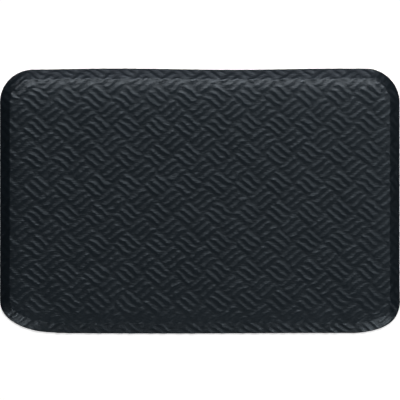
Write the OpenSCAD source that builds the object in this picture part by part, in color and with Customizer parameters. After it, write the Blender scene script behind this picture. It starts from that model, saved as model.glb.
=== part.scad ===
// Anti-fatigue standing mat, wrapped construction.
// A cover sheet lies over two layers of foam, runs down the bevelled edge, rounds a small nose
// at the floor and is turned under as a hem. A non-slip sheet closes the underside and lies
// over the inner part of the hem, which steps up to make room for it.
// Frame: +X to the right, +Y to the back, +Z up, origin on the floor under the middle.
// The front corners are longer along the front edge than along the sides.

/* [Mat] */
// Width, left to right
mat_w = 760; // [600:1:1000]
// Depth, front to back
mat_d = 500; // [420:1:700]
// Thickness at the middle
mat_h = 19; // [16:0.5:23]

/* [Corners] */
// Radius of the two back corners
back_corner_r = 63; // [50:1:90]
// Radius of a front corner where it leaves the side
front_side_r = 48; // [47:1:60]
// Radius of a front corner where it runs into the front edge
front_edge_r = 123; // [70:1:150]

/* [Edge] */
// Slope of the bevel above the floor, in degrees
bevel_angle = 36; // [36:1:48]
// Radius of the nose where the cover turns under
nose_r = 2.5; // [2:0.1:3.5]
// Radius of the shoulder between the bevel and the top
shoulder_r = 6; // [5:0.5:9]
// Slope of the top just inside the shoulder, in degrees
crown_angle = 7; // [4:0.5:7]
// Radius of the soft crown that levels the top
crown_r = 160; // [100:5:160]

/* [Cover] */
// Thickness of the cover sheet
cover_t = 1.2; // [0.8:0.1:1.8]
// Distance from the mat's edge to the inner edge of the turned hem
hem_w = 26; // [22:0.5:36]

/* [Foam] */
// Thickness of the soft foam under the cover, at the middle
comfort_h = 7; // [4:0.5:9]
// Thickness of the adhesive film between the two foams
film_t = 0.4; // [0.3:0.1:0.8]

/* [Underside] */
// Thickness of the non-slip base sheet
base_t = 1.6; // [1.2:0.1:2]
// Distance from the mat's edge to the base sheet's edge
base_inset = 11; // [8:0.5:14]
// Gap between the base sheet's edge and the top of the hem's step
step_gap = 0.6; // [0.3:0.1:1]
// Length of the slope on which the hem steps up
step_run = 2.4; // [1.5:0.1:3]
// Thickness of the tape that holds the hem to the foam
tape_t = 0.4; // [0.3:0.1:0.8]

/* [Hidden] */

// Rounds to a thousandth, so that stretches of the edge that meet end on the same points
function mm(v) = is_list(v) ? [for (n = v) mm(n)] : round(v * 1000) / 1000;

// Segments on each rounded stretch of the edge's section
UNDER_STEPS = 5;
NOSE_STEPS = 4;
SHOULDER_STEPS = 6;
CROWN_STEPS = 4;
// Roundness of the corners
$fn = 96;
// Margin of a cutting block past the mat
MARGIN = 10;

// Heights of the layers
cover_under = mat_h - cover_t;
film_top = cover_under - comfort_h;
core_top = film_top - film_t;
hem_lift = base_t + cover_t;
tape_top = hem_lift + tape_t;

// Insets of the hem's step, from the mat's edge
step_end = base_inset - step_gap;
step_start = step_end - step_run;

// Directions of the outward normal along the edge's section, above the horizontal
under_dir = -90;
side_dir = 0;
bevel_dir = 90 - bevel_angle;
crown_dir = 90 - crown_angle;
top_dir = 90;

// A unit step outwards in the section, where the first number is the inset from the edge
function out(dir) = [-cos(dir), sin(dir)];

// Centres of the section's three arcs. The bevel's length takes up what is left of the height.
nose_c = [nose_r, nose_r];
crown_cz = mat_h - crown_r;
shoulder_cz = crown_cz + (crown_r - shoulder_r) * sin(crown_dir);
bevel_len = (shoulder_cz - nose_c.y + (shoulder_r - nose_r) * sin(bevel_dir)) / sin(bevel_angle);
shoulder_c = nose_c + (nose_r - shoulder_r) * out(bevel_dir)
    + bevel_len * [cos(bevel_angle), sin(bevel_angle)];
crown_c = shoulder_c + (shoulder_r - crown_r) * out(crown_dir);

// Points of an arc in the section, from one normal direction to another, without the first skip
function arc(centre, r, from_dir, to_dir, steps, skip = 0) =
    [for (i = [skip:steps])
        mm(centre + r * out(from_dir + (to_dir - from_dir) * i / steps))];

// The edge's line, depth mm inside the cover's outer face, from the underside up to the top
function edge_line(depth) = concat(
    arc(nose_c, nose_r - depth, under_dir, side_dir, UNDER_STEPS),
    arc(nose_c, nose_r - depth, side_dir, bevel_dir, NOSE_STEPS, 1),
    arc(shoulder_c, shoulder_r - depth, bevel_dir, crown_dir, SHOULDER_STEPS),
    arc(crown_c, crown_r - depth, crown_dir, top_dir, CROWN_STEPS, 1));

function reversed(list) = [for (i = [len(list) - 1:-1:0]) list[i]];

// The slope on which the hem steps up, raised by lift
function step_line(lift) = [[step_end, base_t + lift], [step_start, lift]];

// The hem's line on the underside, from its inner edge outwards, raised by lift
function hem_line(lift) = concat([[hem_w, base_t + lift]], step_line(lift));

// The right half of the outline: the centres and radii of its arcs. A front corner changes from
// its side radius to its edge radius in the direction of a 3-4-5 triangle, on round numbers.
half_w = mm(mat_w / 2);
half_d = mm(mat_d / 2);
change = [0.6, -0.8];
rim = front_side_r;
back_c = [half_w - back_corner_r, half_d - back_corner_r];
front_edge_c = [
    half_w - front_side_r - mm((front_edge_r - front_side_r) * change.x),
    front_edge_r - half_d];
front_side_c = [
    half_w - front_side_r,
    front_edge_c.y + mm((front_edge_r - front_side_r) * change.y)];

// Turns of the outline: centre, radius, and the directions in which it leaves the front or back
// edge and the side
turns = [
    [back_c, back_corner_r, [0, 1], [1, 0]],
    [front_side_c, front_side_r, change, [1, 0]],
    [front_edge_c, front_edge_r, [0, -1], change]];

// Straight runs of the outline: start, outward direction, length
runs = [
    [[0, half_d], 90, back_c.x],
    [[half_w, back_c.y], 0, back_c.y - front_side_c.y],
    [[front_edge_c.x, -half_d], -90, front_edge_c.x]];

// The area that the turns and runs leave in the middle of the right half
middle = [
    [0, half_d - rim],
    [back_c.x, half_d - rim],
    back_c,
    [half_w - rim, back_c.y],
    front_side_c,
    front_edge_c,
    [front_edge_c.x, rim - half_d],
    [0, rim - half_d]];

// Carries a section round the right half of the outline. A sheet's section is open on its inner
// side, where span gives its lower and upper height, and the sheet goes on to the middle. A
// band's section is closed and has no span.
module half_swept(section, span = undef) {
    function closed(section, depth) = is_undef(span)
        ? section
        : concat(section, [[depth, span[1]], [depth, span[0]]]);
    for (t = turns)
        translate(t[0])
            intersection() {
                rotate_extrude()
                    polygon([for (p = closed(section, t[1])) [t[1] - p.x, p.y]]);
                translate([0, 0, -MARGIN])
                    linear_extrude(mat_h + 2 * MARGIN)
                        polygon(2 * t[1] * [[0, 0], t[2], [t[3].x, t[2].y], t[3]]);
            }
    for (r = runs)
        translate(r[0])
            rotate([0, 0, r[1]])
                rotate([90, 0, 0])
                    linear_extrude(r[2])
                        polygon([for (p = closed(section, rim)) [-p.x, p.y]]);
    if (!is_undef(span))
        translate([0, 0, span[0]])
            linear_extrude(span[1] - span[0])
                polygon(middle);
}

module swept(section, span = undef) {
    half_swept(section, span);
    mirror([1, 0, 0])
        half_swept(section, span);
}

// Everything between two heights
module between(low, high) {
    translate([-half_w - MARGIN, -half_d - MARGIN, low])
        cube([mat_w + 2 * MARGIN, mat_d + 2 * MARGIN, high - low]);
}

// What fills the cover: the foams, their film and the tape, above the base sheet and the hem
module filling() {
    swept(
        concat(
            [[hem_w, base_t], [hem_w, tape_top], [step_end, tape_top]],
            step_line(cover_t),
            edge_line(cover_t)),
        [base_t, cover_under]);
}

// Embossed vinyl sheet: top, bevel, nose and turned hem in one piece
module top_cover() {
    color("#22282c")
        swept(
            concat(
                reversed(edge_line(cover_t)),
                reversed(hem_line(cover_t)),
                hem_line(0),
                edge_line(0)),
            [cover_under, mat_h]);
}

// Soft upper foam, crowned with the cover
module comfort_foam() {
    color("#5a5f66")
        intersection() {
            filling();
            between(film_top, mat_h);
        }
}

// Hot-melt film that joins the two foams
module bond_film() {
    color("#e8e2cc")
        intersection() {
            filling();
            between(core_top, film_top);
        }
}

// Firm lower foam with the bevelled edge
module support_core() {
    color("#3c4046")
        intersection() {
            filling();
            between(0, core_top);
        }
}

// Adhesive tape between the hem and the firm foam, all the way round
module hem_tape() {
    color("#d9c9a0")
        swept([
            [step_end, hem_lift],
            [hem_w, hem_lift],
            [hem_w, tape_top],
            [step_end, tape_top]]);
}

// Non-slip sheet that closes the underside and lies over the hem's inner part
module base_sheet() {
    color("#26282a")
        swept([[base_inset, 0], [base_inset, base_t]], [0, base_t]);
}

top_cover();
comfort_foam();
bond_film();
support_core();
hem_tape();
base_sheet();
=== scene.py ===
"""Looks of a cushioned standing mat with a wrapped cover, embossed in a diagonal basket pattern.

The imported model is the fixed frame: this script takes its sizes from the nodes' boxes and builds
the cover, the two foams, the film between them and the base sheet, gives the hem's tape a finish,
and sets up a plain studio. Lengths are metres. +X is to the right, +Y to the back and +Z up.
"""

import sys

import logging
import math
from dataclasses import dataclass, field
from enum import Enum

import bpy
import numpy as np
from bpy.types import GeometryNodeTree, Material, Node, NodeSocket, NodeTree, Object
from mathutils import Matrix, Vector
from mathutils.geometry import delaunay_2d_cdt

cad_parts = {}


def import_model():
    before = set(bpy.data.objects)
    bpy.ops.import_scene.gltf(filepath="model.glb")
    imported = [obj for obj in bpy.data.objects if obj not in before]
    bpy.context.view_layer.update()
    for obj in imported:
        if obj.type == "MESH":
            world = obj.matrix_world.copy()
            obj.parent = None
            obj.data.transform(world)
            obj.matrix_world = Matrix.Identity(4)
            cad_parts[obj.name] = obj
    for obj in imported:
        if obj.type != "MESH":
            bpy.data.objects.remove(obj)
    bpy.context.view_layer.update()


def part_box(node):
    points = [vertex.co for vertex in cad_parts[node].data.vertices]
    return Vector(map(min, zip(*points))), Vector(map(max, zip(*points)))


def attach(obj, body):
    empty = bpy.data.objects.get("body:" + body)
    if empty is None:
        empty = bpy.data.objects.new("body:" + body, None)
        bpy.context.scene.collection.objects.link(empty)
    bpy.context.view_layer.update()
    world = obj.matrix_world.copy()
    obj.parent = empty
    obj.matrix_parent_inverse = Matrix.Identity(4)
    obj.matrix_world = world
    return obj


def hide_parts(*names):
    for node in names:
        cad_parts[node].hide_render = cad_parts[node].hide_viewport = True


LOG = logging.getLogger("standing_mat")
BODY = "root"
MM = 0.001
WEAVE_UV = "weave"
CREST = "crest"
EMBOSS = "emboss"
UNROLLED = "unrolled"
RIM_WALL = "rim_wall"
WHITE = (1.0, 1.0, 1.0, 1.0)
NOISE_SPAN = (0.3, 0.7)
SAME_HEIGHT = 1e-6
UP = (0.0, 0.0, 1.0)

Value = NodeSocket | float | int | tuple | str | Material
SOCKET_KINDS = {
    float: "NodeSocketFloat",
    int: "NodeSocketInt",
    tuple: "NodeSocketVector",
    Material: "NodeSocketMaterial",
}


class Slot(Enum):
    """The record's material slots."""

    COVER = "cover_vinyl"
    SOFT_FOAM = "soft_foam"
    FIRM_FOAM = "firm_foam"
    ADHESIVE = "adhesive"
    BASE = "base_rubber"


class Graph:
    """Adds nodes to a shader tree or a geometry tree and links them."""

    def __init__(self, tree: NodeTree) -> None:
        """Keeps the tree.

        Args:
            tree: The node tree that the nodes go into.
        """
        self.tree = tree

    def feed(self, socket: NodeSocket, value: Value) -> None:
        """Links a socket to an output, or sets its own value.

        Args:
            socket: The input.
            value: An output socket to link, or a plain value to set.
        """
        if isinstance(value, NodeSocket):
            self.tree.links.new(value, socket)
        else:
            socket.default_value = value

    def add(self, kind: str, feeds: dict[str | int, Value] | None = None, **settings) -> Node:
        """Adds one node.

        Args:
            kind: The node's type name.
            feeds: What goes into its inputs, by the input's name or number.
            settings: The node's own properties.

        Returns:
            The new node.
        """
        node = self.tree.nodes.new(kind)
        for name, setting in settings.items():
            setattr(node, name, setting)
        for key, value in (feeds or {}).items():
            self.feed(node.inputs[key], value)
        return node

    def math(self, operation: str, *values: Value, clamp: bool = False) -> NodeSocket:
        """Adds a sum on numbers.

        Args:
            operation: The Math node's operation.
            values: Its inputs, in order.
            clamp: True to keep the result from 0 to 1.

        Returns:
            The result.
        """
        feeds = dict(enumerate(values))
        return self.add("ShaderNodeMath", feeds, operation=operation, use_clamp=clamp).outputs[0]

    def plus(self, first: Value, second: Value) -> NodeSocket:
        """Adds a sum of two numbers."""
        return self.math("ADD", first, second)

    def minus(self, first: Value, second: Value) -> NodeSocket:
        """Adds a difference of two numbers."""
        return self.math("SUBTRACT", first, second)

    def times(self, first: Value, second: Value) -> NodeSocket:
        """Adds a product of two numbers."""
        return self.math("MULTIPLY", first, second)

    def centred(self, noise: Value) -> NodeSocket:
        """Moves a noise of 0 to 1 so that its middle is 0."""
        return self.minus(noise, 0.5)

    def vector(self, operation: str, *values: Value, out: int = 0) -> NodeSocket:
        """Adds a sum on vectors.

        Args:
            operation: The Vector Math node's operation.
            values: Its inputs, in order.
            out: The output to take, 1 where the result is a number.

        Returns:
            The result.
        """
        feeds = dict(enumerate(values))
        return self.add("ShaderNodeVectorMath", feeds, operation=operation).outputs[out]

    def scaled(self, vector: Value, factor: Value) -> NodeSocket:
        """Adds a vector times a number.

        Args:
            vector: The vector.
            factor: The number.

        Returns:
            The scaled vector.
        """
        feeds = {0: vector, "Scale": factor}
        return self.add("ShaderNodeVectorMath", feeds, operation="SCALE").outputs[0]

    def noise(self, vector: Value, scale: float, detail: float) -> Node:
        """Adds a noise texture.

        Args:
            vector: Where it is read.
            scale: Its cells per metre.
            detail: How many finer layers it has.

        Returns:
            The node, with a number and a colour as its outputs.
        """
        feeds = {"Vector": vector, "Scale": scale, "Detail": detail}
        return self.add("ShaderNodeTexNoise", feeds)

    def cloud(self, place: Value, scale: float, detail: float) -> NodeSocket:
        """Adds a noise of 0 to 1, with the given cells per metre."""
        return self.noise(place, scale, detail).outputs[0]

    def stored(self, name: str, kind: str) -> NodeSocket:
        """Adds the reading of an attribute of the given kind."""
        feeds = {"Name": name}
        node = self.add("GeometryNodeInputNamedAttribute", feeds, data_type=kind)
        return node.outputs["Attribute"]

    def ramp(
        self, value: Value, low: float, high: float, to_low: Value, to_high: Value
    ) -> NodeSocket:
        """Adds a clamped change of range.

        Args:
            value: The number to change.
            low: The value that gives to_low.
            high: The value that gives to_high.
            to_low: The result at low and beyond.
            to_high: The result at high and beyond.

        Returns:
            The changed number.
        """
        feeds = {
            "Value": value,
            "From Min": low,
            "From Max": high,
            "To Min": to_low,
            "To Max": to_high,
        }
        return self.add("ShaderNodeMapRange", feeds, clamp=True).outputs["Result"]

    def blend(self, factor: Value, first: Value, second: Value) -> NodeSocket:
        """Adds a mix of two colours.

        Args:
            factor: 0 for the first, 1 for the second.
            first: The first colour.
            second: The second colour.

        Returns:
            The mixed colour.
        """
        node = self.add("ShaderNodeMix", data_type="RGBA", blend_type="MIX")
        self.feed(node.inputs["Factor"], factor)
        sockets = [s for s in node.inputs if s.type == "RGBA"]
        self.feed(sockets[0], first)
        self.feed(sockets[1], second)
        return next(s for s in node.outputs if s.type == "RGBA")

    def end(self, given: Node, geometry: NodeSocket) -> GeometryNodeTree:
        """Ends a geometry tree: makes instances real and sets the finish.

        Args:
            given: The tree's input node.
            geometry: The geometry so far.

        Returns:
            The finished tree.
        """
        real = self.add("GeometryNodeRealizeInstances", {"Geometry": geometry})
        feeds = {"Geometry": real.outputs["Geometry"], "Material": given.outputs["Finish"]}
        dressed = self.add("GeometryNodeSetMaterial", feeds)
        self.add("NodeGroupOutput", {"Geometry": dressed.outputs["Geometry"]})
        return self.tree


@dataclass(frozen=True)
class Turn:
    """One round turn of the outline, walked anticlockwise.

    centre and radius are its circle's, and start and end its first and last outward directions,
    in degrees from +X.
    """

    centre: tuple[float, float]
    radius: float
    start: float
    end: float

    def at(self, angle: float) -> np.ndarray:
        """The point in the given outward direction, in degrees."""
        turned = math.radians(angle)
        step = np.array([math.cos(turned), math.sin(turned)])
        return np.array(self.centre) + self.radius * step


@dataclass(frozen=True)
class EdgeWave:
    """How a soft edge wanders from its straight line.

    It lies mean outwards, plus a slow wave of the given swing and pitch with a crest at peak.
    """

    mean: float
    swing: float
    pitch: float
    peak: float

    def out(self, x: np.ndarray) -> np.ndarray:
        """How far outwards the edge lies at each x."""
        return self.mean + self.swing * np.cos(2 * math.pi * (x - self.peak) / self.pitch)


@dataclass(frozen=True)
class Bulge:
    """A place where the soft edge is pushed out or in, less and less up to about twice reach."""

    centre: tuple[float, float]
    push: tuple[float, float]
    reach: float = 26 * MM

    def push_at(self, points: np.ndarray) -> np.ndarray:
        """How far each of the given pairs moves."""
        away = np.linalg.norm(points - np.array(self.centre), axis=1) / self.reach
        return np.exp(-(away**2) / 2)[:, None] * np.array(self.push)


@dataclass(frozen=True)
class Outline:
    """The mat's outline: two round back corners and two front ones that are longer in front.

    back_wave and front_wave tell how the long edges wander, wave_fall how quickly that fades
    towards the middle, and bulges where the edge is fuller or pulled in. back_r is the back
    corners' radius. A front corner has side_r where it leaves the side, front_r where it runs
    into the front edge, and goes from one to the other in the direction of change.
    """

    half_width: float
    half_depth: float
    back_wave: EdgeWave = EdgeWave(0.65 * MM, 1.15 * MM, 428 * MM, -152 * MM)
    front_wave: EdgeWave = EdgeWave(1.7 * MM, 0.5 * MM, 700 * MM, -66 * MM)
    wave_fall: float = 6.0
    bulges: tuple[Bulge, ...] = (
        Bulge((352 * MM, -222 * MM), (3.0 * MM, -4.8 * MM)),
        Bulge((-308 * MM, -250 * MM), (0.0, 2.2 * MM)),
    )
    back_r: float = 0.063
    side_r: float = 0.048
    front_r: float = 0.123
    change: tuple[float, float] = (0.6, -0.8)

    def turns(self) -> list[Turn]:
        """The turns in order, anticlockwise from the middle of the front edge.

        Returns:
            Six turns: two for each front corner and one for each back corner.
        """
        change = math.degrees(math.atan2(self.change[1], self.change[0]))
        side_x = self.half_width - self.side_r
        front_x = side_x - (self.front_r - self.side_r) * self.change[0]
        front_y = self.front_r - self.half_depth
        side_y = front_y + (self.front_r - self.side_r) * self.change[1]
        back_x = self.half_width - self.back_r
        back_y = self.half_depth - self.back_r
        return [
            Turn((front_x, front_y), self.front_r, -90, change),
            Turn((side_x, side_y), self.side_r, change, 0),
            Turn((back_x, back_y), self.back_r, 0, 90),
            Turn((-back_x, back_y), self.back_r, 90, 180),
            Turn((-side_x, side_y), self.side_r, 180, 180 - change),
            Turn((-front_x, front_y), self.front_r, 180 - change, 270),
        ]

    def softened(self, points: np.ndarray) -> np.ndarray:
        """Moves points as the soft mat lies: its long edges wave and one corner is fuller.

        Args:
            points: Triples on the straight mat.

        Returns:
            The moved triples.
        """
        moved = points.copy()
        x, y = points[:, 0], points[:, 1]
        share = np.abs(y / self.half_depth) ** self.wave_fall
        waves = np.where(y > 0, self.back_wave.out(x), -self.front_wave.out(x))
        moved[:, 1] += share * waves
        for bulge in self.bulges:
            moved[:, :2] += bulge.push_at(points[:, :2])
        return moved

    def walk(self, spacing: float) -> tuple[np.ndarray, np.ndarray]:
        """Points along the outline and their outward directions.

        Args:
            spacing: About how far apart the points are.

        Returns:
            The points and the unit outward directions, as two arrays of pairs.
        """
        points, outward = [], []
        turns = self.turns()
        for turn, following in zip(turns, turns[1:] + turns[:1]):
            sweep = math.radians(turn.end - turn.start) * turn.radius
            steps = max(3, round(sweep / spacing))
            for angle in np.linspace(turn.start, turn.end, steps, endpoint=False):
                points.append(turn.at(angle))
                outward.append((math.cos(math.radians(angle)), math.sin(math.radians(angle))))
            start, end = turn.at(turn.end), following.at(following.start)
            length = float(np.linalg.norm(end - start))
            if length < spacing / 2:
                continue
            last = math.radians(turn.end)
            for part in np.linspace(0, 1, round(length / spacing), endpoint=False):
                points.append(start + (end - start) * part)
                outward.append((math.cos(last), math.sin(last)))
        return np.array(points), np.array(outward)


@dataclass(frozen=True)
class EdgeSection:
    """The section across the mat's edge, in inset from the edge and height above the floor.

    The cover's outer face goes round the nose at the floor, up the bevel, over the shoulder and
    up a soft crown. Underneath it is level, steps up by hem_lift from step_start to step_end,
    and ends at hem_width. Angles are in degrees from the horizontal.
    """

    height: float
    nose_r: float = 2.5 * MM
    shoulder_r: float = 6 * MM
    crown_r: float = 160 * MM
    bevel_angle: float = 36
    crown_angle: float = 7
    hem_lift: float = 1.6 * MM
    hem_width: float = 26 * MM
    step_start: float = 8 * MM
    step_end: float = 10.4 * MM

    @staticmethod
    def out(direction: float) -> np.ndarray:
        """A unit step outwards, for a direction in degrees above the horizontal."""
        angle = math.radians(direction)
        return np.array([-math.cos(angle), math.sin(angle)])

    def centres(self) -> tuple[np.ndarray, np.ndarray, np.ndarray]:
        """The centres of the nose, the shoulder and the crown.

        Returns:
            Three pairs of inset and height.
        """
        bevel_out = self.out(90 - self.bevel_angle)
        crown_out = self.out(90 - self.crown_angle)
        nose = np.array([self.nose_r, self.nose_r])
        shoulder_z = self.height - self.crown_r + (self.crown_r - self.shoulder_r) * crown_out[1]
        slope = math.radians(self.bevel_angle)
        rise = shoulder_z - nose[1] + (self.shoulder_r - self.nose_r) * bevel_out[1]
        run = rise / math.sin(slope) * np.array([math.cos(slope), math.sin(slope)])
        shoulder = nose + (self.nose_r - self.shoulder_r) * bevel_out + run
        crown = shoulder + (self.shoulder_r - self.crown_r) * crown_out
        return nose, shoulder, crown

    def arc(
        self,
        centre: np.ndarray,
        radius: float,
        span: tuple[float, float],
        steps: int,
        last: bool = False,
    ) -> list[np.ndarray]:
        """Points on one of the section's arcs.

        Args:
            centre: Its centre.
            radius: Its radius.
            span: Its first and last outward directions, in degrees above the horizontal.
            steps: How many points it has.
            last: True to end on the last direction, False to stop one step short of it.

        Returns:
            Pairs of inset and height.
        """
        directions = np.linspace(*span, steps, endpoint=last)
        return [centre + radius * self.out(direction) for direction in directions]

    def down(self, depth: float, steps: tuple[int, int, int, int]) -> np.ndarray:
        """The line from the flat top down over the edge to the underside of the nose.

        Args:
            depth: How far it runs inside the cover's outer face.
            steps: Steps on the crown, the shoulder, the bevel and the nose.

        Returns:
            Pairs of inset and height.
        """
        nose, shoulder, crown = self.centres()
        crown_dir, bevel_dir = 90 - self.crown_angle, 90 - self.bevel_angle
        on_crown, on_shoulder, on_bevel, on_nose = steps
        nose_r, shoulder_r = self.nose_r - depth, self.shoulder_r - depth
        high = shoulder + shoulder_r * self.out(bevel_dir)
        low = nose + nose_r * self.out(bevel_dir)
        line = self.arc(crown, self.crown_r - depth, (90, crown_dir), on_crown)
        line += self.arc(shoulder, shoulder_r, (crown_dir, bevel_dir), on_shoulder)
        line += [high + (low - high) * t for t in np.linspace(0, 1, on_bevel, endpoint=False)]
        line += self.arc(nose, nose_r, (bevel_dir, -90), on_nose, last=True)
        return np.array(line)

    def hem(self, lift: float) -> np.ndarray:
        """The hem's line, from the foot of its step to its inner edge, raised by lift."""
        return np.array(
            [
                (self.step_start, lift),
                (self.step_end, self.hem_lift + lift),
                (self.hem_width, self.hem_lift + lift),
            ]
        )


@dataclass
class MeshParts:
    """Points and faces gathered for one mesh."""

    points: list[np.ndarray] = field(default_factory=list)
    faces: list[list[int]] = field(default_factory=list)
    count: int = 0

    def add_points(self, points: np.ndarray) -> np.ndarray:
        """Adds points.

        Args:
            points: An array of triples.

        Returns:
            Their numbers.
        """
        start = self.count
        self.points.append(points)
        self.count += len(points)
        return np.arange(start, self.count)

    def join_rings(self, upper: np.ndarray, lower: np.ndarray) -> None:
        """Joins two rings of points with four-sided faces that look outwards.

        Args:
            upper: The numbers of the ring that comes first on the way down the outside.
            lower: The numbers of the next ring.
        """
        quads = np.stack([upper, lower, np.roll(lower, -1), np.roll(upper, -1)], axis=1)
        self.faces += quads.tolist()

    def sweep(self, points: np.ndarray, outward: np.ndarray, line: np.ndarray) -> list[np.ndarray]:
        """Carries a section's line round an outline.

        Args:
            points: The outline's points.
            outward: Their outward directions.
            line: Pairs of inset and height, in order down the outside.

        Returns:
            The numbers of each ring's points.
        """
        rings = []
        for inset, z in line:
            ring = points - outward * inset
            rings.append(self.add_points(np.column_stack([ring, np.full(len(ring), z)])))
        for upper, lower in zip(rings[:-1], rings[1:]):
            self.join_rings(upper, lower)
        return rings

    def all_points(self) -> np.ndarray:
        """Every point, in order of number."""
        return np.concatenate(self.points)


def clearance(points: np.ndarray, ring: np.ndarray, batches: int = 64) -> np.ndarray:
    """How far points lie inside a convex ring.

    Args:
        points: Pairs.
        ring: The ring's pairs, anticlockwise.
        batches: In how many batches the points are worked through.

    Returns:
        For each point, the distance to the nearest side, below zero outside.
    """
    along = np.roll(ring, -1, axis=0) - ring
    inward = np.stack([-along[:, 1], along[:, 0]], axis=1)
    inward /= np.linalg.norm(inward, axis=1)[:, None]
    offset = np.einsum("ij,ij->i", inward, ring)
    split = np.array_split(points, batches)
    return np.concatenate([(part @ inward.T - offset).min(axis=1) for part in split])


@dataclass(frozen=True)
class FieldGrid:
    """A slanted grid that fills a convex ring, so that its lines run with the ribs.

    first and second are the grid's two steps, origin one of its points, margin the least
    distance from a kept point to the ring, and weld the distance in millimetres below which two
    points count as one.
    """

    first: tuple[float, float]
    second: tuple[float, float]
    origin: tuple[float, float] = (0.0, 0.0)
    margin: float = 1.2 * MM
    weld: float = 1e-5

    def kept_cells(self, ring: np.ndarray) -> tuple[np.ndarray, np.ndarray, np.ndarray]:
        """Finds the grid's cells that lie inside the ring.

        Args:
            ring: The ring's pairs, anticlockwise.

        Returns:
            The grid's points, whether each cell is kept, and the lowest cell's two numbers.
        """
        frame = np.array([self.first, self.second])
        reach = (ring - np.array(self.origin)) @ np.linalg.inv(frame)
        low = np.floor(reach.min(axis=0)).astype(int)
        high = np.ceil(reach.max(axis=0)).astype(int)
        across, along = np.meshgrid(
            np.arange(low[0], high[0] + 1), np.arange(low[1], high[1] + 1), indexing="ij"
        )
        grid = np.stack([across, along], axis=-1) @ frame + np.array(self.origin)
        inside = clearance(grid.reshape(-1, 2), ring).reshape(across.shape) > self.margin
        kept = inside[:-1, :-1] & inside[1:, :-1] & inside[1:, 1:] & inside[:-1, 1:]
        return grid, kept, low

    def fill(
        self, parts: MeshParts, ring: np.ndarray, numbers: np.ndarray, z: float, up: bool
    ) -> None:
        """Fills a level ring with the grid and joins the two with triangles.

        Args:
            parts: The mesh that the ring is in.
            ring: The ring's pairs, anticlockwise.
            numbers: The numbers of the ring's points.
            z: The ring's height.
            up: True if the faces look up.
        """
        grid, kept, low = self.kept_cells(ring)
        rows, columns = np.nonzero(kept)
        width = grid.shape[1]
        corners = ((0, 0), (1, 0), (1, 1), (0, 1))
        cells = np.stack([(rows + r) * width + columns + c for r, c in corners], axis=1)
        if np.linalg.det(np.array([self.first, self.second])) < 0:
            cells = cells[:, ::-1]
        used, local = np.unique(cells, return_inverse=True)
        local = local.reshape(cells.shape)
        flat = grid.reshape(-1, 2)[used]
        added = parts.add_points(np.column_stack([flat, np.full(len(flat), z)]))
        faces = added[local].tolist()
        sides = np.stack([local, np.roll(local, -1, axis=1)], axis=-1).reshape(-1, 2)
        keys = sides.min(axis=1) * len(flat) + sides.max(axis=1)
        _, first_seen, times = np.unique(keys, return_index=True, return_counts=True)
        border = sides[first_seen[times == 1]]
        faces += self.strip(ring, numbers, flat, border, added, kept, low)
        parts.faces += faces if up else [face[::-1] for face in faces]

    def strip(
        self,
        ring: np.ndarray,
        numbers: np.ndarray,
        flat: np.ndarray,
        border: np.ndarray,
        added: np.ndarray,
        kept: np.ndarray,
        low: np.ndarray,
    ) -> list[list[int]]:
        """Triangles between the kept cells and the ring.

        Args:
            ring: The ring's pairs.
            numbers: The numbers of the ring's points.
            flat: The kept grid points.
            border: The kept cells' outer sides, as pairs of places in flat.
            added: The numbers of the kept grid points.
            kept: Whether each cell is kept.
            low: The lowest cell's two numbers.

        Returns:
            The triangles, anticlockwise from above.
        """
        edge_points = np.unique(border)
        place = {int(p): k for k, p in enumerate(edge_points)}
        loose = np.concatenate([ring, flat[edge_points]]) / MM
        owners = np.concatenate([numbers, added[edge_points]])
        count = len(ring)
        sides = [(k, (k + 1) % count) for k in range(count)]
        sides += [(count + place[int(a)], count + place[int(b)]) for a, b in border]
        made = delaunay_2d_cdt([Vector(p) for p in loose], sides, [], 0, self.weld)
        points, triangles, sources = made[0], made[2], made[3]
        frame = np.linalg.inv(np.array([self.first, self.second]))
        found = []
        for triangle in triangles:
            middle = sum((points[k] for k in triangle), Vector((0, 0))) / 3 * MM
            cell = (np.array(middle) - np.array(self.origin)) @ frame
            row, column = np.floor(cell).astype(int) - low
            inside_grid = 0 <= row < kept.shape[0] and 0 <= column < kept.shape[1]
            if inside_grid and kept[row, column]:
                continue
            a, b, c = (points[k] for k in triangle)
            corners = [int(owners[sources[k][0]]) for k in triangle]
            found.append(corners if (b - a).cross(c - a) > 0 else corners[::-1])
        return found


def make_object(name: str, parts: MeshParts, smooth_below: float) -> Object:
    """Makes an object from gathered points and faces.

    Args:
        name: The piece's name.
        parts: Its points and faces.
        smooth_below: Edges that turn by less than this angle are shaded smooth, in degrees.

    Returns:
        The new object, at the origin.
    """
    mesh = bpy.data.meshes.new(name)
    mesh.from_pydata(parts.all_points().tolist(), [], parts.faces)
    mesh.validate()
    mesh.shade_smooth()
    mesh.set_sharp_from_angle(angle=math.radians(smooth_below))
    piece = bpy.data.objects.new(name, mesh)
    bpy.context.scene.collection.objects.link(piece)
    return piece


def store(piece: Object, name: str, values: np.ndarray) -> None:
    """Stores a number or a vector for each point of a piece.

    Args:
        piece: The piece.
        name: The attribute's name.
        values: One number or triple for each point.
    """
    flat = values.ndim == 1
    layer = piece.data.attributes.new(name, "FLOAT" if flat else "FLOAT_VECTOR", "POINT")
    layer.data.foreach_set("value" if flat else "vector", values.astype(np.float32).ravel())


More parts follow.
